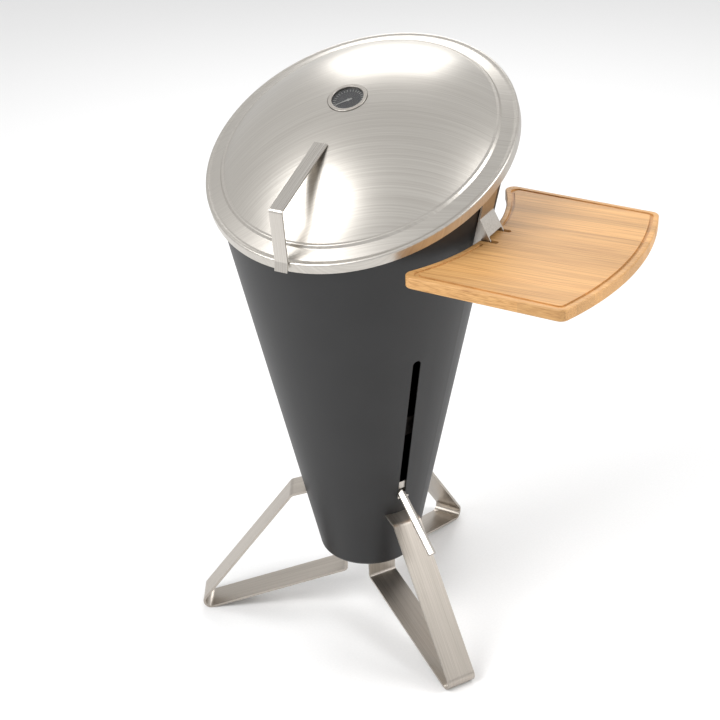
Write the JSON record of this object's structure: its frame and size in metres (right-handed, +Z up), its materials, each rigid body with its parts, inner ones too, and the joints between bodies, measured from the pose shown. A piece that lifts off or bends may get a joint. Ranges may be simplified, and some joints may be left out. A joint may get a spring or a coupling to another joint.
{
  "type": "cone-shaped charcoal grill",
  "caption": "Tall conical charcoal grill on bent strap legs, with a slanted oval lid, lid thermometer, height lever in a slot and a bamboo side board.",
  "frame": {"origin": "on the cone's axis at floor level", "axes": "+Z up along the cone's axis, -Y towards the low lip of the mouth and the lid handle, the side board near +X, the rear leg at +Y"},
  "size_m": [0.7207, 0.5274, 0.9559],
  "materials": {
    "cone_enamel": "matt black high-temperature coating",
    "brushed_stainless": "brushed",
    "lid_stainless": "satin brushed dome",
    "fastener_steel": "bright zinc",
    "grate_steel": "bright wire",
    "dark_sheet": "heat-blackened sheet",
    "bamboo": "oiled bamboo",
    "dial_print": "printed dial",
    "needle_paint": "pale paint",
    "gauge_glass": "clear"
  },
  "bodies": {
    "stand": {"cone_body": "cone_enamel", "leg_left": "brushed_stainless", "leg_right": "brushed_stainless", "leg_rear": "brushed_stainless", "leg_bolts": "fastener_steel", "leg_nuts": "fastener_steel", "leg_washers": "fastener_steel", "guide_rod": "fastener_steel", "rod_nuts": "fastener_steel", "grate_rests": "dark_sheet"},
    "lift": {"lever": "brushed_stainless", "clamp_pin": "fastener_steel", "brake_shoe": "brushed_stainless", "lift_fork": "brushed_stainless"},
    "basket": {"basket_hub": "dark_sheet", "charcoal_basket": "dark_sheet"},
    "grate": {"cooking_grate": "grate_steel"},
    "lid": {"lid_shell": "lid_stainless", "lid_handle": "brushed_stainless", "thermometer_case": "brushed_stainless", "thermometer_bezel": "brushed_stainless", "thermometer_glass": "gauge_glass", "thermometer_dial": "dial_print", "thermometer_stem": "fastener_steel"},
    "needle": {"thermometer_needle": "needle_paint"},
    "bracket": {"board_bracket": "brushed_stainless"},
    "board": {"side_board": "bamboo"}
  },
  "joints": [
    {"name": "lid_lift", "type": "slide", "parent": "stand", "child": "lid", "axis": [0, -0.3746, 0.9272], "range_m": [0, 0.3]},
    {"name": "lever_slide", "type": "slide", "parent": "stand", "child": "lift", "axis": [0.1776, -0.1025, 0.9788], "range_m": [0, 0.2452]},
    {"name": "basket_lift", "type": "slide", "parent": "stand", "child": "basket", "axis": [0, 0, 1], "range_m": [0, 0.24]},
    {"name": "grate_lift", "type": "slide", "parent": "stand", "child": "grate", "axis": [0, 0, 1], "range_m": [0, 0.03]},
    {"name": "needle_turn", "type": "hinge", "parent": "lid", "child": "needle", "pos_m": [0, -0.01574, 0.92304], "axis": [0, 0.3746, -0.9272], "range_deg": [0, 270], "stiffness_Nm_per_rad": 0.001},
    {"name": "bracket_unhook", "type": "slide", "parent": "stand", "child": "bracket", "axis": [0.205, 0.0029, 0.9788], "range_m": [0, 0.008]},
    {"name": "board_slide", "type": "slide", "parent": "bracket", "child": "board", "axis": [0.9999, 0.014, 0], "range_m": [0, 0.06]}
  ],
  "couplings": [
    {"joint": "basket_lift", "follows": "lever_slide", "ratio": 0.97875}
  ]
}
